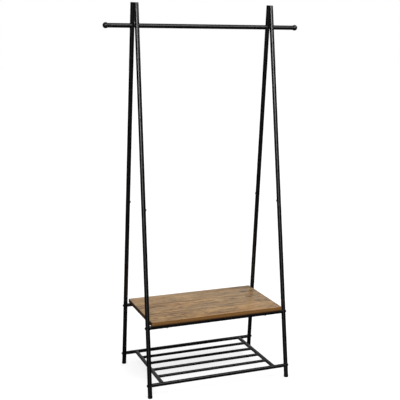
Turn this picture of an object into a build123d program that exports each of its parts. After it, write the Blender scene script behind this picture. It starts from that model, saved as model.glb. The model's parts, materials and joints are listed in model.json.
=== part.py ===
from build123d import *
import os

# Clothes rack with a hanging rail, a wooden shelf and a slatted bottom rack.
# Millimetres, +Z up, front towards -Y. The origin is on the floor under the middle.

os.makedirs("parts", exist_ok=True)

# Driving dimensions: the two side frames

total_height = 1640.0
crossing_height = 1547.0
foot_half_spacing = 321.0
crossing_half_spacing = 307.5
foot_half_depth = 205.0
crossing_half_offset = 10.5

# Tubes

leg_radius = 9.5
bar_radius = 9.5
rail_radius = 8.0
slat_radius = 6.35
tube_wall = 1.2
tube_end_setback = 3.0

# Leg joints and plastic caps

seam_height = 770.0
seam_gap = 0.3
joint_screw_height = 791.0
sleeve_half_length = 52.0
sleeve_wall = 1.8
foot_cap_height = 8.0
foot_flange_radius = 10.1
top_cap_height = 1.8
plug_length = 14.0
plug_overlap = 0.5
sole_edge = 1.2
top_cap_edge = 0.9

# Shelf and bottom rack

shelf_rail_height = 296.0
board_length = 608.0
board_shift = 2.0
board_depth = 356.0
board_thickness = 18.0
board_corner = 2.0
board_edge = 0.8
board_screw_half_spacing = 230.0
rack_rail_height = 52.5
cross_bar_half_spacing = 262.0
slat_pitch = 78.0
slat_count = 4

# Hanging rail ends

ball_radius = 12.5
ball_neck_length = 2.0
ball_half_spacing = 430.0

# Fixings

stud_radius = 3.0
stud_half_length = 42.0
stud_chamfer = 0.6
spacer_radius = 8.0
spacer_thickness = 1.6
insert_length = 18.0
insert_setback = 2.0
rail_screw_radius = 3.0
rail_screw_length = 35.0
rail_screw_head = 5.5
rail_screw_head_height = 3.3
rail_screw_socket = 2.0
joint_screw_radius = 2.5
joint_screw_length = 8.0
joint_screw_head = 4.8
joint_screw_head_height = 2.6
joint_screw_socket = 1.5
board_screw_radius = 2.0
board_screw_length = 28.0
board_screw_head = 3.8
board_screw_head_height = 2.2
board_screw_socket = 1.2
board_hole_cover = 3.0

# Clearances

slide_gap = 0.1
touch_gap = 0.05
hole_gap = 0.2
head_gap = 0.12

# Cutters run past the metal, and foot parts start below the floor before they are cut level

cut_past = 50.0
below_floor = 10.0

# Derived sizes

leg_bore = leg_radius - tube_wall
bar_bore = bar_radius - tube_wall
rail_bore = rail_radius - tube_wall
sleeve_radius = leg_bore - slide_gap
board_bottom = shelf_rail_height + rail_radius + touch_gap

left, right = -1, 1
front, rear = -1, 1
side_names = {left: "left", right: "right"}
face_names = {front: "front", rear: "rear"}
leg_places = [(side, face) for side in (left, right) for face in (front, rear)]


def leg_rise(side, face):
    """How a leg runs from its foot to the crossing: inwards, and past the other leg."""
    inwards = -side * (foot_half_spacing - crossing_half_spacing)
    past = -face * crossing_half_offset
    return Vector(inwards + past, -face * foot_half_depth, crossing_height)


def leg_stretch(side, face):
    """Length along a leg for each unit of height."""
    return leg_rise(side, face).length / crossing_height


def leg_x(side, face, height):
    return side * foot_half_spacing + leg_rise(side, face).X * height / crossing_height


def leg_y(face, height):
    return face * foot_half_depth * (1 - height / crossing_height)


def leg_plane(side, face, height):
    """A plane square across a leg, with its normal running up the leg."""
    point = (leg_x(side, face, height), leg_y(face, height), height)
    return Plane(origin=point, x_dir=(1, 0, 0), z_dir=leg_rise(side, face))


def outward_plane(side, x, y, height):
    """A plane across X, facing left or right."""
    return Plane(origin=(x, y, height), x_dir=(0, 1, 0), z_dir=(side, 0, 0))


def save(builder, name):
    builder.part.label = name
    export_step(builder.part, "parts/" + name + ".step")


# Operations on the part that is being built

def add_rod(plane, radius, length):
    with BuildSketch(plane) as disc:
        Circle(radius)
    extrude(disc.sketch, amount=length)


def add_tube(plane, radius, length, wall=tube_wall):
    with BuildSketch(plane) as ring:
        Circle(radius)
        Circle(radius - wall, mode=Mode.SUBTRACT)
    extrude(ring.sketch, amount=length)


def drill(plane, radius, length):
    with BuildSketch(plane) as disc:
        Circle(radius)
    extrude(disc.sketch, amount=length, mode=Mode.SUBTRACT)


def cope_to_leg(side, face):
    """Shape a tube end so that it hugs a leg."""
    length = (total_height + 2 * cut_past) * leg_stretch(side, face)
    drill(leg_plane(side, face, -cut_past), leg_radius + slide_gap, length)


def drill_leg_across(side, face, height, radius):
    start = leg_x(side, face, height) - side * 2 * leg_radius
    drill(outward_plane(side, start, leg_y(face, height), height), radius, 4 * leg_radius)


def drill_leg_inner_wall(side, face, radius):
    """A hole through the wall that faces the other side frame."""
    height = joint_screw_height
    plane = outward_plane(-side, leg_x(side, face, height), leg_y(face, height), height)
    drill(plane, radius, 2 * leg_radius)


def add_screw(plane, shank, length, head, head_height, socket):
    """A button head on the plane, with a hexagon socket, and its shank behind the plane."""
    add_rod(plane, head, head_height)
    crown = edges(Select.LAST).filter_by(GeomType.CIRCLE).filter_by(
        lambda edge: abs(plane.to_local_coords(edge.arc_center).Z - head_height) < 0.01
    )
    fillet(crown, radius=0.7 * head_height)
    add_rod(plane, shank, -length)
    with BuildSketch(plane.offset(head_height)) as hexagon:
        RegularPolygon(socket, 6, major_radius=False)
    extrude(hexagon.sketch, amount=-0.6 * head_height, mode=Mode.SUBTRACT)


# Legs

def make_lower_leg(side, face):
    length = (seam_height - seam_gap / 2 - foot_cap_height) * leg_stretch(side, face)
    with BuildPart() as leg:
        add_tube(leg_plane(side, face, foot_cap_height), leg_radius, length)
        drill_leg_across(side, face, rack_rail_height, rail_screw_radius + hole_gap)
        drill_leg_across(side, face, shelf_rail_height, rail_screw_radius + hole_gap)
    return leg


def make_upper_leg(side, face):
    start = seam_height + seam_gap / 2
    length = (total_height - top_cap_height - start) * leg_stretch(side, face)
    with BuildPart() as leg:
        add_tube(leg_plane(side, face, start), leg_radius, length)
        drill_leg_across(side, face, crossing_height, stud_radius + hole_gap)
        drill_leg_inner_wall(side, face, joint_screw_radius + hole_gap)
    return leg


def make_joint_sleeve(side, face):
    """The inner sleeve that lines up the two halves of a leg."""
    start = seam_height - sleeve_half_length
    length = 2 * sleeve_half_length * leg_stretch(side, face)
    with BuildPart() as sleeve:
        add_tube(leg_plane(side, face, start), sleeve_radius, length, sleeve_wall)
        drill_leg_inner_wall(side, face, joint_screw_radius + touch_gap)
    return sleeve


def make_foot_cap(side, face):
    """A plug whose sole is cut level with the floor."""
    flange_length = (foot_cap_height + below_floor) * leg_stretch(side, face) - touch_gap
    with BuildPart() as cap:
        add_rod(leg_plane(side, face, -below_floor), foot_flange_radius, flange_length)
        add_rod(leg_plane(side, face, foot_cap_height - plug_overlap), sleeve_radius, plug_length)
        split(bisect_by=Plane.XY, keep=Keep.TOP)
        sole = cap.faces().sort_by(Axis.Z)[0]
        fillet(sole.edges(), radius=sole_edge)
    return cap


def make_top_cap(side, face):
    seat = leg_plane(side, face, total_height - top_cap_height).offset(touch_gap)
    with BuildPart() as cap:
        add_rod(seat, leg_radius, top_cap_height * leg_stretch(side, face) - touch_gap)
        rim = cap.edges().sort_by(Axis.Z)[-1]
        fillet(rim, radius=top_cap_edge)
        add_rod(seat.offset(plug_overlap), sleeve_radius, -plug_length)
    return cap


def make_joint_screws():
    with BuildPart() as screws:
        for side, face in leg_places:
            height = joint_screw_height
            x = leg_x(side, face, height) - side * (leg_radius + head_gap)
            plane = outward_plane(-side, x, leg_y(face, height), height)
            add_screw(
                plane, joint_screw_radius, joint_screw_length,
                joint_screw_head, joint_screw_head_height, joint_screw_socket
            )
    return screws


# Hanging rail, with its two end stubs

def inner_leg(side):
    """The face whose leg is nearer the middle where the legs cross."""
    return front if side == left else rear


def make_hanging_rail():
    half_length = crossing_half_spacing - crossing_half_offset - tube_end_setback
    with BuildPart() as rail:
        add_tube(outward_plane(right, -half_length, 0, crossing_height), bar_radius, 2 * half_length)
        cope_to_leg(left, inner_leg(left))
        cope_to_leg(right, inner_leg(right))
    return rail


def stub_end(side):
    """Where the stub stops, so that the ball's neck meets it."""
    sink = (ball_radius**2 - bar_radius**2) ** 0.5
    return side * (ball_half_spacing - sink - ball_neck_length)


def make_rail_stub(side):
    start = side * (crossing_half_spacing + crossing_half_offset + tube_end_setback)
    with BuildPart() as stub:
        plane = outward_plane(side, start, 0, crossing_height)
        add_tube(plane, bar_radius, abs(stub_end(side) - start))
        cope_to_leg(side, -inner_leg(side))
    return stub


def make_ball_finial(side):
    seat = outward_plane(side, stub_end(side) + side * touch_gap, 0, crossing_height)
    into_ball = ball_neck_length + bar_radius / 4
    centre = (side * ball_half_spacing, 0, crossing_height)
    with BuildPart() as finial:
        add_rod(seat, bar_radius, into_ball)
        add_rod(seat.offset(plug_overlap), bar_bore - slide_gap, -plug_length)
        with Locations(centre):
            Sphere(ball_radius)
    return finial


def make_crossing_stud(side):
    """The threaded rod through both legs, into the inserts on each side."""
    start = side * (crossing_half_spacing - stud_half_length)
    with BuildPart() as stud:
        add_rod(outward_plane(side, start, 0, crossing_height), stud_radius, 2 * stud_half_length)
        chamfer(stud.edges().filter_by(GeomType.CIRCLE), length=stud_chamfer)
    return stud


def make_crossing_spacer(side):
    start = side * (crossing_half_spacing - spacer_thickness / 2)
    with BuildPart() as spacer:
        plane = outward_plane(side, start, 0, crossing_height)
        add_rod(plane, spacer_radius, spacer_thickness)
        drill(plane, stud_radius + hole_gap, spacer_thickness)
    return spacer


def make_stud_inserts():
    """Threaded plugs pressed into the rail and the stubs, where the studs screw in."""
    leg_face = crossing_half_offset + leg_radius + insert_setback
    with BuildPart() as inserts:
        for side in (left, right):
            for direction in (left, right):
                start = side * crossing_half_spacing + direction * leg_face
                plane = outward_plane(direction, start, 0, crossing_height)
                add_rod(plane, bar_bore - touch_gap, insert_length)
                drill(plane, stud_radius + touch_gap, insert_length + 1)
    return inserts


# Rails between the side frames, for the shelf and for the bottom rack

def make_long_rail(face, height):
    half_length = (leg_x(right, face, height) - leg_x(left, face, height)) / 2 - tube_end_setback
    middle = (leg_x(left, face, height) + leg_x(right, face, height)) / 2
    with BuildPart() as rail:
        plane = outward_plane(right, middle - half_length, leg_y(face, height), height)
        add_tube(plane, rail_radius, 2 * half_length)
        cope_to_leg(left, face)
        cope_to_leg(right, face)
    return rail


def make_shelf_rail(face):
    rail = make_long_rail(face, shelf_rail_height)
    with rail:
        for x in (-board_screw_half_spacing, board_screw_half_spacing):
            below = (x, leg_y(face, shelf_rail_height), shelf_rail_height - 2 * rail_radius)
            drill(Plane(origin=below), board_screw_radius + hole_gap, 4 * rail_radius)
    return rail


def make_rail_inserts():
    """Threaded plugs in the rail ends, two for each of the four rails."""
    with BuildPart() as inserts:
        for height in (shelf_rail_height, rack_rail_height):
            for side, face in leg_places:
                start = leg_x(side, face, height) - side * (leg_radius + insert_setback)
                plane = outward_plane(-side, start, leg_y(face, height), height)
                add_rod(plane, rail_bore - touch_gap, insert_length)
                drill(plane, rail_screw_radius + touch_gap, insert_length + 1)
    return inserts


def make_rail_screws(height):
    with BuildPart() as screws:
        for side, face in leg_places:
            x = leg_x(side, face, height) + side * (leg_radius + head_gap)
            plane = outward_plane(side, x, leg_y(face, height), height)
            add_screw(
                plane, rail_screw_radius, rail_screw_length,
                rail_screw_head, rail_screw_head_height, rail_screw_socket
            )
    return screws


# Shelf board

def board_screw_places(height):
    y = leg_y(rear, shelf_rail_height)
    half = board_screw_half_spacing
    return [(x, sign * y, height) for x in (-half, half) for sign in (front, rear)]


def make_shelf_board():
    with BuildPart() as board:
        # the board rests a little to the right of the middle, against the right legs
        with BuildSketch(Plane(origin=(board_shift, 0, board_bottom))):
            RectangleRounded(board_length, board_depth, radius=board_corner)
        extrude(amount=board_thickness)
        fillet(board.faces().sort_by(Axis.Z)[-1].edges(), radius=board_edge)
        fillet(board.faces().sort_by(Axis.Z)[0].edges(), radius=board_edge)
        for place in board_screw_places(board_bottom):
            drill(Plane(origin=place), board_screw_radius + touch_gap, board_thickness - board_hole_cover)
    return board


def make_board_screws():
    """Driven up through the shelf rails into the board."""
    seat_height = shelf_rail_height - rail_radius - touch_gap
    with BuildPart() as screws:
        for place in board_screw_places(seat_height):
            plane = Plane(origin=place, x_dir=(1, 0, 0), z_dir=(0, 0, -1))
            add_screw(
                plane, board_screw_radius, board_screw_length,
                board_screw_head, board_screw_head_height, board_screw_socket
            )
    return screws


# Bottom rack: two cross bars between the rails, and four slats between the cross bars

def make_cross_bar(side):
    reach = leg_y(rear, rack_rail_height)
    x = side * cross_bar_half_spacing
    front_end = (x, -reach + tube_end_setback, rack_rail_height)
    start = Plane(origin=front_end, x_dir=(1, 0, 0), z_dir=(0, 1, 0))
    with BuildPart() as bar:
        add_tube(start, rail_radius, 2 * (reach - tube_end_setback))
        for face in (front, rear):
            rail_axis = outward_plane(right, x - cut_past, face * reach, rack_rail_height)
            drill(rail_axis, rail_radius + touch_gap, 2 * cut_past)
    return bar


def make_slat(row):
    y = (row - (slat_count - 1) / 2) * slat_pitch
    start = outward_plane(right, -cross_bar_half_spacing, y, rack_rail_height)
    with BuildPart() as slat:
        add_tube(start, slat_radius, 2 * cross_bar_half_spacing)
        for side in (left, right):
            bar_start = (side * cross_bar_half_spacing, y - cut_past, rack_rail_height)
            bar_axis = Plane(origin=bar_start, x_dir=(1, 0, 0), z_dir=(0, 1, 0))
            drill(bar_axis, rail_radius + touch_gap, 2 * cut_past)
    return slat


for side, face in leg_places:
    place = side_names[side] + "_" + face_names[face] + "_"
    save(make_lower_leg(side, face), place + "lower_leg")
    save(make_upper_leg(side, face), place + "upper_leg")
    save(make_joint_sleeve(side, face), place + "joint_sleeve")
    save(make_foot_cap(side, face), place + "foot_cap")
    save(make_top_cap(side, face), place + "top_cap")
save(make_joint_screws(), "leg_joint_screws")

save(make_hanging_rail(), "hanging_rail")
for side in (left, right):
    save(make_rail_stub(side), side_names[side] + "_rail_stub")
    save(make_ball_finial(side), side_names[side] + "_ball_finial")
    save(make_crossing_stud(side), side_names[side] + "_crossing_stud")
    save(make_crossing_spacer(side), side_names[side] + "_crossing_spacer")
save(make_stud_inserts(), "crossing_stud_inserts")

for face in (front, rear):
    save(make_shelf_rail(face), "shelf_" + face_names[face] + "_rail")
    save(make_long_rail(face, rack_rail_height), "rack_" + face_names[face] + "_rail")
save(make_rail_inserts(), "rail_end_inserts")
save(make_rail_screws(shelf_rail_height), "shelf_rail_screws")
save(make_rail_screws(rack_rail_height), "rack_rail_screws")

save(make_shelf_board(), "shelf_board")
save(make_board_screws(), "shelf_board_screws")

for side in (left, right):
    save(make_cross_bar(side), "rack_" + side_names[side] + "_cross_bar")
for row in range(slat_count):
    save(make_slat(row), "rack_slat_" + str(row + 1))
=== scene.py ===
import bpy
import bmesh
import json
import math
import random
from mathutils import Matrix, Vector


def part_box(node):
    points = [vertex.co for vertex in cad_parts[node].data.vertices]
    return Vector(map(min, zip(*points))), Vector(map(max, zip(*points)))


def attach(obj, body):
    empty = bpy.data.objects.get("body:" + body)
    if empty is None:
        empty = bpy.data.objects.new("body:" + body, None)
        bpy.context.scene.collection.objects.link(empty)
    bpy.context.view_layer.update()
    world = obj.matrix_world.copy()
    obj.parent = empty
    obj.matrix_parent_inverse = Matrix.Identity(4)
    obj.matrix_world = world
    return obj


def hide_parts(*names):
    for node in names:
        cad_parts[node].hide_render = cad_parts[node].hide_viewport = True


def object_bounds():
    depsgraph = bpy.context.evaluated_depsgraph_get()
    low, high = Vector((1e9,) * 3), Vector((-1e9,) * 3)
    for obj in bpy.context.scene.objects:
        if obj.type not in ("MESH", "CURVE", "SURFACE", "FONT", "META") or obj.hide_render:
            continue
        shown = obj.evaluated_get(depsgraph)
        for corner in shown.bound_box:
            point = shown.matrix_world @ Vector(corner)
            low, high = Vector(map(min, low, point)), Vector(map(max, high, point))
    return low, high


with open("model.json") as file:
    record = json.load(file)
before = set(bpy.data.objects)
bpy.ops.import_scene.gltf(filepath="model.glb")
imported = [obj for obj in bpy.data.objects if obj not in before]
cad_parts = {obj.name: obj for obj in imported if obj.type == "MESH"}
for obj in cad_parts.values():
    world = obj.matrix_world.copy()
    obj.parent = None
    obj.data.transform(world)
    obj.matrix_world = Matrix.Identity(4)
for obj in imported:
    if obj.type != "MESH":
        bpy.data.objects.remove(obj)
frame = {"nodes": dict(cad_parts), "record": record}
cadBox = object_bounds()
nodes = frame["nodes"]
print("frame loaded:", len(nodes), "nodes")

# shader maths: a Flow wraps one socket, so a sum of Flows adds its Math nodes
class Flow:
    def __init__(self, board, socket):
        self.board = board
        self.socket = socket

    def maths(self, operation, first, second):
        return self.board.make("ShaderNodeMath", {"operation": operation}, {0: first, 1: second})

    def __add__(self, other):
        return self.maths("ADD", self, other)

    def __sub__(self, other):
        return self.maths("SUBTRACT", self, other)

    def __mul__(self, other):
        return self.maths("MULTIPLY", self, other)

    def __truediv__(self, other):
        return self.maths("DIVIDE", self, other)

    def __gt__(self, other):
        return self.maths("GREATER_THAN", self, other)

    def __rsub__(self, other):
        return self.maths("SUBTRACT", other, self)

    def __rtruediv__(self, other):
        return self.maths("DIVIDE", other, self)

    def __abs__(self):
        return self.maths("ABSOLUTE", self, 0)

    __radd__ = __add__
    __rmul__ = __mul__


class NodeBoard:
    def __init__(self, tree):
        self.tree = tree

    def make(self, kind, settings=None, sockets=None, take=0):
        node = self.tree.nodes.new(kind)
        settings = dict(settings or {})
        stops = settings.pop("stops", None)
        for name, value in settings.items():
            setattr(node, name, value)
        if stops:
            elements = node.color_ramp.elements
            while len(elements) < len(stops):
                elements.new(1)
            for element, (position, colour) in zip(elements, stops):
                element.position = position
                element.color = (*colour, 1)
        for name, value in (sockets or {}).items():
            if isinstance(value, Flow):
                self.tree.links.new(value.socket, node.inputs[name])
            else:
                node.inputs[name].default_value = value
        return Flow(self, node.outputs[take]) if node.outputs else None

    def stretch(self, vector, scale, shift=(0, 0, 0)):
        sockets = {"Vector": vector, "Scale": scale, "Location": shift}
        return self.make("ShaderNodeMapping", {}, sockets, take="Vector")

    def noise(self, vector, scale, detail=2.0, rough=0.5):
        sockets = {"Vector": vector, "Scale": scale, "Detail": detail, "Roughness": rough}
        return self.make("ShaderNodeTexNoise", {}, sockets)

    def cells(self, vector, scale):
        return self.make("ShaderNodeTexVoronoi", {"feature": "F1"}, {"Vector": vector, "Scale": scale})

    def ramp(self, value, stops):
        return self.make("ShaderNodeValToRGB", {"stops": stops}, {"Fac": value})

    def step(self, value, low, high):
        sockets = {"Value": value, "From Min": low, "From Max": high}
        return self.make("ShaderNodeMapRange", {"interpolation_type": "SMOOTHSTEP"}, sockets)

    def blend(self, amount, first, second):
        # a plain colour is three numbers, and its socket wants a fourth
        first, second = [(*side, 1) if isinstance(side, tuple) else side for side in (first, second)]
        sockets = {0: amount, 6: first, 7: second}  # 6 and 7 are the colour sockets
        return self.make("ShaderNodeMix", {"data_type": "RGBA"}, sockets, take=2)

    def split(self, vector):
        node = self.make("ShaderNodeSeparateXYZ", {}, {0: vector}).socket.node
        return [Flow(self, output) for output in node.outputs]

    def bump(self, height, distance, strength=1.0):
        sockets = {"Height": height, "Distance": distance, "Strength": strength}
        return self.make("ShaderNodeBump", {}, sockets)

    def facing(self):
        return self.split(self.make("ShaderNodeNewGeometry", take="Normal"))


class Finish(NodeBoard):
    def __init__(self, name, roughness, metallic=0.0, shine=0.5):
        self.material = bpy.data.materials.new(name)
        self.material.use_nodes = True
        super().__init__(self.material.node_tree)
        self.skin = self.tree.nodes["Principled BSDF"]
        self.skin.inputs["Roughness"].default_value = roughness
        self.skin.inputs["Metallic"].default_value = metallic
        self.skin.inputs["Specular IOR Level"].default_value = shine
        self.place = self.make("ShaderNodeTexCoord", take="Object")

    def set(self, socket, value):
        self.tree.links.new(value.socket, self.skin.inputs[socket])


# camera and light first
camera = {
    "place": (-1.242, -3.200, 1.440),
    "turn": 20.93,  # degrees to the right of straight ahead
    "tilt": -10.62,  # degrees above level
    "roll": 0.085,
    "lens": 70.98,  # mm
    "sensor": 36,  # mm wide
    "seesTo": 100,
}
studio = {
    "floorRadius": 60,
    "floorGap": 0.0005,  # below the feet
    "floorColour": 0.32,
    "floorClouds": 1.5,
    "floorRoughness": 0.9,
    "floorGlow": 0.76,  # lightens the shadows on the floor
    "floorBounce": 0.05,  # how much light the floor gives back to the rack
    "backdrop": 1.0,  # what the camera sees behind the rack
    "skyStops": [(0.0, (0.004,) * 3), (0.54, (0.008,) * 3), (0.72, (0.10,) * 3), (1.0, (0.60,) * 3)],
    "wallBehind": 0.42,  # pale wall that the shelf mirrors
    "wallDepth": (0.35, 0.85),  # where it fades in, towards the back
    "wallHeight": (-0.02, 0.10),  # and upwards
}

# lamps: strength, width in degrees (wide is soft), where the light comes from, and
# whether it shows as a shine on the tubes
lamps = {
    "keySun": (2.2, 64, (0.20, -0.42, 0.90), False),
    "frontSun": (1.5, 13, (-0.42, -0.91, 0.26), True),
    "rimSun": (0.35, 40, (0.8, 0.5, 0.5), True),
}


def makeCamera():
    data = bpy.data.cameras.new("rackCamera")
    data.lens = camera["lens"]
    data.sensor_width = camera["sensor"]
    data.clip_end = camera["seesTo"]
    view = bpy.data.objects.new("rackCamera", data)
    bpy.context.scene.collection.objects.link(view)
    view.location = camera["place"]
    turn = Matrix.Rotation(-math.radians(camera["turn"]), 4, "Z")
    tilt = Matrix.Rotation(math.radians(90 + camera["tilt"]), 4, "X")
    roll = Matrix.Rotation(math.radians(camera["roll"]), 4, "Z")
    view.rotation_euler = (turn @ tilt @ roll).to_euler()
    bpy.context.scene.camera = view


def hangLamp(data, place, comesFrom):
    lamp = bpy.data.objects.new(data.name, data)
    bpy.context.scene.collection.objects.link(lamp)
    lamp.location = place
    lamp.rotation_mode = "QUATERNION"
    lamp.rotation_quaternion = comesFrom.to_track_quat("Z", "Y")
    return lamp


def makeSun(name, strength, width, comesFrom, shines):
    data = bpy.data.lights.new(name, "SUN")
    data.energy = strength
    data.angle = math.radians(width)
    sun = hangLamp(data, (0, 0, 0), Vector(comesFrom))
    sun.visible_glossy = shines


# long lamp over the hanging rail, which gives its upper half a soft shine
railLamp = {"place": (0.66, -1.55, 2.45), "length": 1.7, "width": 0.5, "power": 20}


def makeRailLamp():
    data = bpy.data.lights.new("railLamp", "AREA")
    data.shape = "RECTANGLE"
    data.size = railLamp["length"]
    data.size_y = railLamp["width"]
    data.energy = railLamp["power"]
    low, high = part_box("hanging_rail")
    away = Vector(railLamp["place"]) - (low + high) / 2
    away.x = 0  # square to the rail
    hangLamp(data, railLamp["place"], away)


def makeBackdrop():
    world = bpy.data.worlds.new("studioWorld")
    world.use_nodes = True
    bpy.context.scene.world = world
    world.node_tree.nodes.clear()
    sky = NodeBoard(world.node_tree)
    x, y, z = sky.split(sky.make("ShaderNodeTexCoord", take="Generated"))
    wall = sky.step(y, *studio["wallDepth"]) * sky.step(z, *studio["wallHeight"])
    height = z * 0.5 + 0.5  # 0 straight down, 1 straight up
    glow = sky.blend(wall * studio["wallBehind"], sky.ramp(height, studio["skyStops"]), (1, 1, 1))
    fill = sky.make("ShaderNodeBackground", {}, {"Color": glow, "Strength": 1.0})
    white = {"Color": (1, 1, 1, 1), "Strength": studio["backdrop"]}
    backdrop = sky.make("ShaderNodeBackground", {}, white)
    seen = sky.make("ShaderNodeLightPath", take="Is Camera Ray")
    mixed = sky.make("ShaderNodeMixShader", {}, {0: seen, 1: fill, 2: backdrop})
    sky.make("ShaderNodeOutputWorld", {}, {"Surface": mixed})


makeCamera()
makeBackdrop()
for lampName, lampValues in lamps.items():
    makeSun(lampName, *lampValues)
makeRailLamp()
bpy.context.scene.view_settings.view_transform = "Standard"
print("camera and light ready")


# black powder coat; what ends in Size is a count of spots for each metre
blackCoat = {
    "dark": (0.0010, 0.0010, 0.0012),
    "light": (0.0028, 0.0028, 0.0031),
    "dust": (0.075, 0.073, 0.070),
    "dustAmount": 0.05,
    "roughness": 0.28,
    "driftSize": 9,
    "speckSize": 2600,
    "dustSize": 60,
    "peelSize": 620,
    "peelDepth": 0.000012,
}


def makeBlackCoat():
    coat = Finish("blackPowderCoat", blackCoat["roughness"])
    drift = coat.noise(coat.place, blackCoat["driftSize"], 3)
    peel = coat.noise(coat.place, blackCoat["peelSize"], 3, 0.6)
    specks = coat.noise(coat.place, blackCoat["speckSize"], 2, 0.7)
    lying = coat.step(coat.facing()[2], 0.35, 1.0)
    dust = lying * coat.noise(coat.place, blackCoat["dustSize"], 4, 0.7)
    shades = [(0.35, blackCoat["dark"]), (0.7, blackCoat["light"])]
    tone = coat.ramp(drift * 0.6 + specks * 0.4, shades)
    coat.set("Base Color", coat.blend(dust * blackCoat["dustAmount"], tone, blackCoat["dust"]))
    coat.set("Roughness", blackCoat["roughness"] + (peel - 0.5) * 0.08 + dust * 0.05)
    coat.set("Normal", coat.bump(peel + specks * 0.35, blackCoat["peelDepth"]))
    return coat.material


# moulded plastic of the caps, the ball ends and the spacers
capPlastic = {
    "dark": (0.002, 0.002, 0.0022),
    "light": (0.006, 0.006, 0.0062),
    "scuff": (0.022, 0.022, 0.022),
    "roughness": 0.24,
    "flowStretch": (30, 30, 120),
    "scuffSize": 240,
    "grainSize": 1500,
    "grainDepth": 0.00004,
}


def makeCapPlastic():
    plastic = Finish("mouldedBlackPlastic", capPlastic["roughness"])
    grain = plastic.cells(plastic.place, capPlastic["grainSize"])
    flowMark = plastic.noise(plastic.stretch(plastic.place, capPlastic["flowStretch"]), 1, 3)
    scuff = plastic.noise(plastic.place, capPlastic["scuffSize"], 5, 0.75)
    scuffed = plastic.step(scuff, 0.60, 0.78)
    tone = plastic.ramp(flowMark, [(0.3, capPlastic["dark"]), (0.75, capPlastic["light"])])
    plastic.set("Base Color", plastic.blend(scuffed * 0.35, tone, capPlastic["scuff"]))
    plastic.set("Roughness", capPlastic["roughness"] + flowMark * 0.08 + scuffed * 0.12)
    plastic.set("Normal", plastic.bump(grain + scuff * 0.3, capPlastic["grainDepth"]))
    return plastic.material


# screws: blackened steel, rubbed bright in places
blackScrew = {
    "colour": (0.035, 0.034, 0.034),
    "worn": (0.16, 0.155, 0.15),
    "roughness": 0.33,
    "blotchSize": 420,
    "scratchStretch": (300, 2600, 2600),
    "scratchDepth": 0.00002,
}


def makeBlackScrewSteel():
    steel = Finish("blackenedScrewSteel", blackScrew["roughness"], 0.9)
    blotch = steel.noise(steel.place, blackScrew["blotchSize"], 4, 0.65)
    scratch = steel.noise(steel.stretch(steel.place, blackScrew["scratchStretch"]), 1, 3, 0.6)
    worn = steel.step(blotch * 0.6 + scratch * 0.4, 0.54, 0.68)
    steel.set("Base Color", steel.blend(worn * 0.5, blackScrew["colour"], blackScrew["worn"]))
    steel.set("Roughness", blackScrew["roughness"] + blotch * 0.16)
    steel.set("Normal", steel.bump(scratch, blackScrew["scratchDepth"]))
    return steel.material


# sleeves, studs and inserts inside the tubes: zinc plated steel
zincSteel = {
    "colour": (0.50, 0.51, 0.52),
    "dull": (0.33, 0.33, 0.33),
    "roughness": 0.36,
    "spangleSize": 300,
    "stainSize": 90,
    "stainDepth": 0.00003,
}


def makeZincSteel():
    zinc = Finish("zincPlatedSteel", zincSteel["roughness"], 1.0)
    spangle = zinc.cells(zinc.place, zincSteel["spangleSize"])
    stain = zinc.noise(zinc.place, zincSteel["stainSize"], 4, 0.6)
    mask = zinc.step(stain, 0.4, 0.7)
    zinc.set("Base Color", zinc.blend(mask, zincSteel["colour"], zincSteel["dull"]))
    zinc.set("Roughness", zincSteel["roughness"] + spangle * 0.15 + mask * 0.12)
    zinc.set("Normal", zinc.bump(stain, zincSteel["stainDepth"]))
    return zinc.material


# shelf board, in metres: the seams run along it, and each knot is (x, y, size)
boardWood = {
    "seams": (0.050, -0.075),
    "seamWidth": 0.0011,
    "knots": [
        # the first two, at the rear right, are knots set along the line where the rear-right leg is
        # mirrored in the board, so they also paint a dark reflection of that leg
        (0.236, 0.092, 0.010), (0.224, 0.016, 0.008), (0.108, -0.118, 0.007),
        (-0.118, -0.022, 0.009), (-0.214, 0.104, 0.007), (0.020, 0.118, 0.006),
        (-0.040, -0.132, 0.006),
    ],
    "knotStretch": 2.4,  # a knot is longer along the grain
    "plankShift": (0.83, 0.37),  # moves the grain on from one plank to the next
    "ringsPerMetre": 95,
    "sawPerMetre": (1300, 260),  # along and across, so the saw marks slant a little
    "tone": 0.69,  # higher is paler
    "contrast": {"mottle": 1.0, "patch": 1.1, "fibre": 1.2},
    "dark": (0.040, 0.017, 0.005),
    "middle": (0.235, 0.130, 0.048),
    "light": (0.440, 0.275, 0.120),
    "warmStretch": (5, 11, 11),
    "warmShift": (3, 1, 0),
    "warm": (0.42, 0.215, 0.070),
    "cool": (0.22, 0.155, 0.085),
    "knot": (0.026, 0.010, 0.004),
    "seamAndRimDark": (0.050, 0.026, 0.012),
    # painted light on the board's sides: a golden painted highlight below the top, and painted shade lower
    # down and on the short ends
    "edgeLipHighlight": (0.135, 0.050, 0.006),
    "edgeHighlight": (0.200, 0.092, 0.024),
    "edgePaintedShade": (0.050, 0.021, 0.007),
    "rim": (0.0042, 0.0012),  # the top darkens between these distances from its edge
    "lip": (0.0015, 0.0050),  # the edge's colours change between these depths
    # painted shade on the sides begins between these depths below the top
    "paintedShadeBelow": (0.0105, 0.0155),
    "roughness": 0.30,
    "reliefDepth": 0.00018,
}

# stretch along, across and down the board, then detail and roughness of each noise
boardGrain = {
    "wander": ((2.2, 9, 9), 3, 0.55),
    "arch": ((1.1, 14, 14), 1, 0.4),
    "fibre": ((14, 520, 520), 5, 0.7),
    "pores": ((60, 1500, 1500), 2, 0.5),
    "patch": ((3.5, 16, 16), 4, 0.6),
    "sawWander": ((6, 6, 6), 2, 0.5),
    "sawPatch": ((5, 12, 12), 2, 0.5),
    "streak": ((7, 190, 190), 4, 0.65),
    "mottle": ((48, 120, 120), 4, 0.7),
}


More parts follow.
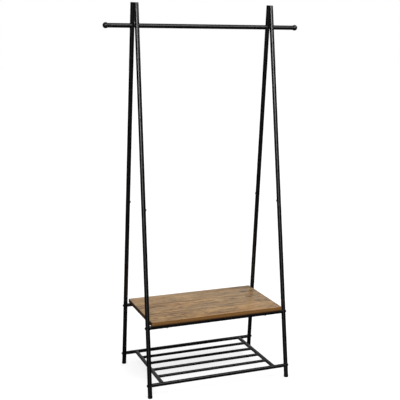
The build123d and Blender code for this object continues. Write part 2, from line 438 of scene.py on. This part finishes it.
def boardKnots(wood, x, y):
    # how far the grain bends aside, the knots' hearts, and the rings round them
    bend = heart = rings = 0.0
    for knotX, knotY, size in boardWood["knots"]:
        across = (y - knotY) / size
        along = (x - knotX) / (size * boardWood["knotStretch"])
        squared = across * across + along * along
        near = 1 / (1 + squared * squared)
        bend = bend + near * across * size * 0.9
        heart = heart + wood.step(squared, 0.55, 0.12)
        rings = rings + near
    return bend, heart, rings


def boardSeams(wood, y, fibre):
    width = boardWood["seamWidth"]
    mask = 0.0
    for seam in boardWood["seams"]:
        distance = abs(y - seam + (fibre - 0.5) * 0.0012)
        mask = mask + wood.step(distance, width * 2.4, width * 0.6)
    return mask


def boardRim(wood, x, y, patch):
    low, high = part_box("shelf_board")
    middle = (low + high) / 2
    wander = (patch - 0.5) * 0.004
    rimX = high.x - middle.x - abs(x - middle.x) + wander
    rimY = high.y - middle.y - abs(y - middle.y) + wander
    return wood.step(rimX, *boardWood["rim"]) + wood.step(rimY, *boardWood["rim"])


def paintedBoardEdge(wood, z, facingX, fibre):
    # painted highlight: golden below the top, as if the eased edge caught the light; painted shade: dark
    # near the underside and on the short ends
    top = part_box("shelf_board")[1].z
    paintedShadeMask = wood.step(top - z + (fibre - 0.5) * 0.003, *boardWood["paintedShadeBelow"])
    paintedShadeMask = paintedShadeMask + wood.step(abs(facingX), 0.4, 0.7) * (1 - paintedShadeMask)
    lip = wood.step(top - z, *boardWood["lip"])
    paintedHighlight = wood.blend(lip, boardWood["edgeLipHighlight"], boardWood["edgeHighlight"])
    return wood.blend(paintedShadeMask, paintedHighlight, boardWood["edgePaintedShade"])


def makeBoardWood():
    wood = Finish("rusticShelfWood", boardWood["roughness"])
    x, y, z = wood.split(wood.place)
    bend, knotHeart, knotRings = boardKnots(wood, x, y)
    plank = sum((y > seam) * 1.0 for seam in boardWood["seams"])
    shiftX, shiftY = boardWood["plankShift"]
    lengthways = x + plank * shiftX
    crossways = y - bend + plank * shiftY
    spot = wood.make("ShaderNodeCombineXYZ", {}, {0: lengthways, 1: crossways, 2: z})
    grain = {}
    for name, (stretch, detail, rough) in boardGrain.items():
        grain[name] = wood.noise(wood.stretch(spot, stretch), 1, detail, rough)
    fibre = grain["fibre"]
    warmth = wood.noise(wood.stretch(spot, boardWood["warmStretch"], boardWood["warmShift"]), 1)

    # growth rings, with pointed arches where the cut passes the heart of the tree
    rings = crossways * boardWood["ringsPerMetre"] + grain["wander"] * 9 + grain["arch"] * 13
    band = wood.make("ShaderNodeMath", {"operation": "FRACT"}, {0: rings + lengthways * 0.8})
    lateWood = wood.step(band, 0.45, 0.98) * wood.step(band, 1.0, 0.96)
    poreMask = wood.step(grain["pores"], 0.60, 0.72)
    darkStreak = wood.step(grain["streak"], 0.53, 0.66)

    # saw marks cross the planks in patches
    sawX, sawY = boardWood["sawPerMetre"]
    sawPlace = x * sawX + y * sawY + grain["sawWander"] * 14
    sawLines = wood.make("ShaderNodeMath", {"operation": "SINE"}, {0: sawPlace})
    saw = sawLines * wood.step(grain["sawPatch"], 0.52, 0.66)

    tone = boardWood["tone"] + plank * 0.02 - 0.02
    for name, weight in boardWood["contrast"].items():
        tone = tone + (grain[name] - 0.5) * weight
    tone = tone - lateWood * 0.38 - darkStreak * 0.55 + saw * 0.07 - knotRings * 0.10
    shades = [(0.08, boardWood["dark"]), (0.48, boardWood["middle"]), (0.86, boardWood["light"])]
    colour = wood.ramp(tone, shades)
    colour = wood.blend(wood.step(warmth, 0.48, 0.72) * 0.35, colour, boardWood["warm"])
    colour = wood.blend(wood.step(warmth, 0.50, 0.28) * 0.35, colour, boardWood["cool"])
    colour = wood.blend(poreMask * 0.45, colour, boardWood["dark"])
    colour = wood.blend(knotHeart * 0.85, colour, boardWood["knot"])

    seamMask = boardSeams(wood, y, fibre)
    # darker along the seams and in a band round the top's rim
    colour = wood.blend(seamMask * 0.72, colour, boardWood["seamAndRimDark"])
    colour = wood.blend(boardRim(wood, x, y, grain["patch"]) * 0.45, colour, boardWood["seamAndRimDark"])
    facingX, facingY, facingZ = wood.facing()
    sideMask = wood.step(facingZ, 0.98, 0.60)
    # the sides take the edge's painted highlight and painted shade
    edge = paintedBoardEdge(wood, z, facingX, fibre)
    wood.set("Base Color", wood.blend(sideMask * (0.65 + fibre * 0.4), colour, edge))

    wood.set("Roughness", boardWood["roughness"] + lateWood * 0.05 + poreMask * 0.15 + seamMask * 0.2)
    relief = fibre * 0.5 + lateWood * 0.35 - poreMask * 0.8 + saw * 0.35 - knotHeart * 0.3
    wood.set("Normal", wood.bump(relief, boardWood["reliefDepth"], 0.7))
    return wood.material


# the finish for each slot of the record
finishes = {
    "black_tube": makeBlackCoat(),
    "cap_plastic": makeCapPlastic(),
    "fixing_steel": makeBlackScrewSteel(),
    "bare_steel": makeZincSteel(),
    "shelf_wood": makeBoardWood(),
}
print("finishes ready:", ", ".join(finishes))

for subpart in frame["record"]["subparts"]:
    cadMesh = nodes[subpart["node"]].data
    cadMesh.materials.clear()
    cadMesh.materials.append(finishes[subpart["material_slot"]])
print("CAD nodes have their finishes")


def addPiece(mesh, slotName, *replaced):
    mesh.materials.append(finishes[slotName])
    piece = bpy.data.objects.new(mesh.name, mesh)
    bpy.context.scene.collection.objects.link(piece)
    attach(piece, "root")
    if replaced:
        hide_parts(*replaced)


def smoothByAngle(shape, degrees):
    limit = math.radians(degrees)
    for face in shape.faces:
        face.smooth = True
    for edge in shape.edges:
        if len(edge.link_faces) == 2:
            edge.smooth = edge.calc_face_angle(0) < limit


def finishMesh(shape, name, degrees):
    bmesh.ops.recalc_face_normals(shape, faces=shape.faces)
    smoothByAngle(shape, degrees)
    mesh = bpy.data.meshes.new(name)
    shape.to_mesh(mesh)
    shape.free()
    return mesh


def bridge(shape, loops, closed=False):
    # walls between rings of corners, joined up again or capped at both ends
    count = len(loops[0])
    pairs = list(zip(loops, loops[1:]))
    if closed:
        pairs.append((loops[-1], loops[0]))
    for lower, upper in pairs:
        for step in range(count):
            after = (step + 1) % count
            shape.faces.new((lower[step], lower[after], upper[after], upper[step]))
    if not closed:
        shape.faces.new(loops[0][::-1])
        shape.faces.new(loops[-1])


def turnRings(shape, rings, place, segments):
    # each ring is (radius, height), with a third value of 6 where it is a hexagon
    loops = []
    for radius, height, *corners in rings:
        loop = []
        for step in range(segments):
            angle = 2 * math.pi * step / segments
            reach = radius
            if corners:
                sector = 2 * math.pi / corners[0]
                reach = radius / math.cos(angle % sector - sector / 2)
            point = Vector((reach * math.cos(angle), reach * math.sin(angle), height))
            loop.append(shape.verts.new(place @ point))
        loops.append(loop)
    bridge(shape, loops)


def placeAlong(origin, direction):
    turn = Vector(direction).to_track_quat("Z", "Y").to_matrix().to_4x4()
    return Matrix.Translation(origin) @ turn


def solidBoxes(node):
    # lowest and highest corner of each separate solid in a CAD node
    shape = bmesh.new()
    shape.from_mesh(nodes[node].data)
    bmesh.ops.remove_doubles(shape, verts=shape.verts, dist=1e-6)
    seen = set()
    solids = []
    for start in shape.verts:
        if start in seen:
            continue
        seen.add(start)
        island = [start]
        for vert in island:
            for edge in vert.link_edges:
                other = edge.other_vert(vert)
                if other not in seen:
                    seen.add(other)
                    island.append(other)
        corners = [[pick(v.co[axis] for v in island) for axis in range(3)] for pick in (min, max)]
        solids.append((Vector(corners[0]), Vector(corners[1])))
    shape.free()
    return solids


def makeFloorPaint():
    # the camera sees a pale floor, and the rack gets only a little light back from it
    paint = Finish("paleFloor", studio["floorRoughness"], shine=0.0)
    cloud = paint.noise(paint.place, studio["floorClouds"], 3)
    pale = studio["floorColour"]
    paint.set("Base Color", paint.ramp(cloud, [(0.3, (pale * 0.98,) * 3), (0.7, (pale,) * 3)]))
    paint.skin.inputs["Emission Color"].default_value = (1, 1, 1, 1)
    paint.skin.inputs["Emission Strength"].default_value = studio["floorGlow"]
    dim = (studio["floorBounce"],) * 3
    bounce = paint.make("ShaderNodeBsdfDiffuse", {}, {"Color": (*dim, 1)})
    seen = paint.make("ShaderNodeLightPath", take="Is Camera Ray")
    skin = Flow(paint, paint.skin.outputs[0])
    mixed = paint.make("ShaderNodeMixShader", {}, {0: seen, 1: bounce, 2: skin})
    paint.tree.links.new(mixed.socket, paint.tree.nodes["Material Output"].inputs[0])
    return paint.material


def makeFloor():
    shape = bmesh.new()
    bmesh.ops.create_circle(shape, cap_ends=True, segments=96, radius=studio["floorRadius"])
    mesh = bpy.data.meshes.new("studioFloor")
    shape.to_mesh(mesh)
    shape.free()
    mesh.materials.append(makeFloorPaint())
    floor = bpy.data.objects.new("studioFloor", mesh)
    bpy.context.scene.collection.objects.link(floor)
    floor.location.z = cadBox[0].z - studio["floorGap"]


makeFloor()
print("floor ready")

# board: three planks with shallow V grooves and eased edges
boardShape = {
    "ease": 0.0012,
    "easeSteps": 3,
    "grooveWidth": 0.0016,
    "grooveDepth": 0.0007,
    "smoothBelow": 28,  # degrees
}


def easedCorner(cornerY, cornerZ, inY, inZ, firstAngle):
    # quarter circle round one long edge, as points across the board
    ease = boardShape["ease"]
    points = []
    for step in range(boardShape["easeSteps"] + 1):
        angle = math.radians(firstAngle + 90 * step / boardShape["easeSteps"])
        y = cornerY + inY * ease + ease * math.cos(angle)
        points.append((y, cornerZ + inZ * ease + ease * math.sin(angle)))
    return points


def boardOutline(low, high):
    # from the rear underside up and over to the front underside
    half = boardShape["grooveWidth"] / 2
    outline = easedCorner(high.y, low.z, -1, 1, -90) + easedCorner(high.y, high.z, -1, -1, 0)
    for seam in boardWood["seams"]:
        outline.append((seam + half, high.z))
        outline.append((seam, high.z - boardShape["grooveDepth"]))
        outline.append((seam - half, high.z))
    return outline + easedCorner(low.y, high.z, 1, -1, 90) + easedCorner(low.y, low.z, 1, 1, 180)


def makeBoard():
    low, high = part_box("shelf_board")
    middle = (low + high) / 2
    half = (high - low) / 2
    ease = boardShape["ease"]
    turns = [math.pi / 2 * step / boardShape["easeSteps"] for step in range(boardShape["easeSteps"] + 1)]
    ends = [(ease * (1 - math.sin(turn)), ease * (1 - math.cos(turn))) for turn in turns]
    stations = [(low.x + back, inset) for inset, back in ends]
    stations += [(high.x - back, inset) for inset, back in reversed(ends)]
    shape = bmesh.new()
    loops = []
    for x, inset in stations:
        scaleY = 1 - inset / half.y
        scaleZ = 1 - inset / half.z
        loop = []
        for y, z in boardOutline(low, high):
            point = (x, middle.y + (y - middle.y) * scaleY, middle.z + (z - middle.z) * scaleZ)
            loop.append(shape.verts.new(point))
        loops.append(loop)
    bridge(shape, loops)
    mesh = finishMesh(shape, "plankedShelfBoard", boardShape["smoothBelow"])
    addPiece(mesh, "shelf_wood", "shelf_board")


makeBoard()
print("shelf board ready")

# screws: domed head, hexagon socket with a lead-in, and a plain shank
railScrew = {"head": 0.0055, "height": 0.0033, "socket": 0.0020, "shank": 0.0030}
jointScrew = {"head": 0.0048, "height": 0.0026, "socket": 0.0015, "shank": 0.0025}
boardScrew = {"head": 0.0038, "height": 0.0022, "socket": 0.0012, "shank": 0.0020}

# each node's screw, the axis that it lies along, and which way its head faces: on axis 0
# that is 1 away from the rack's middle and -1 towards it, and on axis 2 it is -1 down
screwPlaces = {
    "shelf_rail_screws": (railScrew, 0, 1),
    "rack_rail_screws": (railScrew, 0, 1),
    "leg_joint_screws": (jointScrew, 0, -1),
    "shelf_board_screws": (boardScrew, 2, -1),
}

# shares of the head's radius and height, the socket's radius and the shank's radius
screwShape = {
    "tip": (0.7, 0.4),
    "seat": (0.94, 0.07),
    "rim": 0.16,
    "domeSteps": 7,
    "mouth": 1.28,
    "socketTop": 0.93,
    "socketFloor": 0.38,
    "drillTip": (0.3, 0.26),
    "segments": 48,
    "smoothBelow": 40,  # degrees
}


def screwRings(screw, length):
    head, height, socket, shank = (screw[part] for part in ("head", "height", "socket", "shank"))
    tip, tipLength = screwShape["tip"]
    seat, seatHeight = screwShape["seat"]
    rim = screwShape["rim"]
    end = height - length
    rings = [(shank * tip, end), (shank, end + shank * tipLength), (shank, 0)]
    rings += [(head * seat, 0), (head, height * seatHeight), (head, height * rim)]
    mouth = socket * screwShape["mouth"]
    for step in range(1, screwShape["domeSteps"] + 1):
        angle = math.pi / 2 * step / screwShape["domeSteps"]
        radius = mouth + (head - mouth) * math.cos(angle)
        rings.append((radius, height * (rim + (1 - rim) * math.sin(angle))))
    rings += [(socket, height * screwShape[level], 6) for level in ("socketTop", "socketFloor")]
    drillRadius, drillHeight = screwShape["drillTip"]
    return rings + [(socket * drillRadius, height * drillHeight)]


def makeScrews(node):
    screw, axis, faces = screwPlaces[node]
    shape = bmesh.new()
    for low, high in solidBoxes(node):
        origin = (low + high) / 2
        side = faces if axis == 2 else math.copysign(1, origin.x) * faces
        outward = Vector((0, 0, 0))
        outward[axis] = side
        origin[axis] = (high if side > 0 else low)[axis] - side * screw["height"]
        rings = screwRings(screw, high[axis] - low[axis])
        turnRings(shape, rings, placeAlong(origin, outward), screwShape["segments"])
    mesh = finishMesh(shape, node + "_turned", screwShape["smoothBelow"])
    addPiece(mesh, "fixing_steel", node)


for screwNode in screwPlaces:
    makeScrews(screwNode)
print("screws ready")

# ball ends: a ball with a short collar, and a spigot that goes into the tube
ballShape = {
    "radius": 0.0125,
    "neck": 0.0095,
    "collarLength": 0.0020,
    "collarBevel": 0.0004,
    "creaseFrom": 0.0008,  # before the ball begins
    "creaseTo": 0.0001,
    "creaseDepth": 0.0005,
    "spigot": 0.86,  # share of the neck
    "spigotTip": 0.78,
    "spigotBevel": 0.001,
    "pole": 0.0002,
    "ballSteps": 26,
    "segments": 56,
    "smoothBelow": 40,  # degrees
}


def makeBallFinial(node, side):
    low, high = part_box(node)
    radius, neck = ballShape["radius"], ballShape["neck"]
    bevel = ballShape["collarBevel"]
    spigot, spigotTip = neck * ballShape["spigot"], neck * ballShape["spigotTip"]
    spigotEnd = radius - (high.x - low.x)
    ballStart = -math.sqrt(radius**2 - neck**2)
    collarStart = ballStart - ballShape["collarLength"]
    rings = [(spigotTip, spigotEnd), (spigot, spigotEnd + ballShape["spigotBevel"]), (spigot, collarStart)]
    rings += [(neck - bevel, collarStart), (neck, collarStart + bevel)]
    rings.append((neck, ballStart - ballShape["creaseFrom"]))
    rings.append((neck - ballShape["creaseDepth"], ballStart - ballShape["creaseTo"]))
    first = math.acos(ballStart / radius)
    for step in range(ballShape["ballSteps"] + 1):
        angle = first * (1 - step / ballShape["ballSteps"])
        rings.append((max(radius * math.sin(angle), ballShape["pole"]), radius * math.cos(angle)))
    centre = (low + high) / 2
    centre.x = (high.x if side > 0 else low.x) - side * radius
    shape = bmesh.new()
    turnRings(shape, rings, placeAlong(centre, (side, 0, 0)), ballShape["segments"])
    mesh = finishMesh(shape, node + "_moulded", ballShape["smoothBelow"])
    addPiece(mesh, "cap_plastic", node)


makeBallFinial("left_ball_finial", -1)
makeBallFinial("right_ball_finial", 1)
print("ball ends ready")

# weld beads where the bottom rack's tubes meet
weldBead = {
    "radius": 0.0011,
    "lift": 0.0003,  # the bead's middle stands this far off the tube
    "ripple": 0.00022,
    "ripples": 26,
    "unevenness": (0.7, 1.2),
    "widest": 0.985,  # share of the main tube's radius that a bead can reach up to
    "around": 72,
    "section": 8,
    "smoothBelow": 80,  # degrees
    "seed": 11,
}


def tubeMiddle(node):
    # middle and radius of a straight level tube
    low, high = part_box(node)
    return (low + high) / 2, (high.z - low.z) / 2


def addBead(shape, centre, along, mainRadius, branchRadius, chance):
    # follows the line where a branch tube, which leaves in the given direction, meets the main one
    across = Vector((abs(along.y), abs(along.x), 0))
    up = Vector((0, 0, 1))
    points = []
    for step in range(weldBead["around"]):
        angle = 2 * math.pi * step / weldBead["around"]
        sideways = branchRadius * math.cos(angle)
        rise = min(branchRadius, mainRadius * weldBead["widest"]) * math.sin(angle)
        reach = math.sqrt(mainRadius**2 - rise**2) + weldBead["lift"]
        points.append(centre + across * sideways + up * rise + along * reach)
    loops = []
    phase = chance.uniform(0, 6)  # so that no two beads start alike
    for step, point in enumerate(points):
        after = points[(step + 1) % len(points)]
        forward = (after - points[step - 1]).normalized()
        outward = (point - centre - along * (point - centre).dot(along)).normalized()
        sideAxis = forward.cross(outward).normalized()
        outward = sideAxis.cross(forward).normalized()
        wave = math.sin(weldBead["ripples"] * 2 * math.pi * step / len(points) + phase)
        height = weldBead["ripple"] * chance.uniform(*weldBead["unevenness"])
        radius = weldBead["radius"] + height * wave
        loop = []
        for corner in range(weldBead["section"]):
            turn = 2 * math.pi * corner / weldBead["section"]
            offset = outward * math.cos(turn) + sideAxis * math.sin(turn)
            loop.append(shape.verts.new(point + offset * radius))
        loops.append(loop)
    bridge(shape, loops, closed=True)


def makeWelds():
    chance = random.Random(weldBead["seed"])
    shape = bmesh.new()
    sides = {"left": 1, "right": -1}  # which way the slats leave each cross bar
    for sideName, inward in sides.items():
        barCentre, barRadius = tubeMiddle("rack_" + sideName + "_cross_bar")
        for slatNode in sorted(name for name in nodes if name.startswith("rack_slat_")):
            slatCentre, slatRadius = tubeMiddle(slatNode)
            joint = Vector((barCentre.x, slatCentre.y, slatCentre.z))
            addBead(shape, joint, Vector((inward, 0, 0)), barRadius, slatRadius, chance)
        for railNode, inwardY in (("rack_front_rail", 1), ("rack_rear_rail", -1)):
            railCentre, railRadius = tubeMiddle(railNode)
            joint = Vector((barCentre.x, railCentre.y, railCentre.z))
            addBead(shape, joint, Vector((0, inwardY, 0)), railRadius, barRadius, chance)
    addPiece(finishMesh(shape, "rackWeldBeads", weldBead["smoothBelow"]), "black_tube")


makeWelds()
print("weld beads ready")
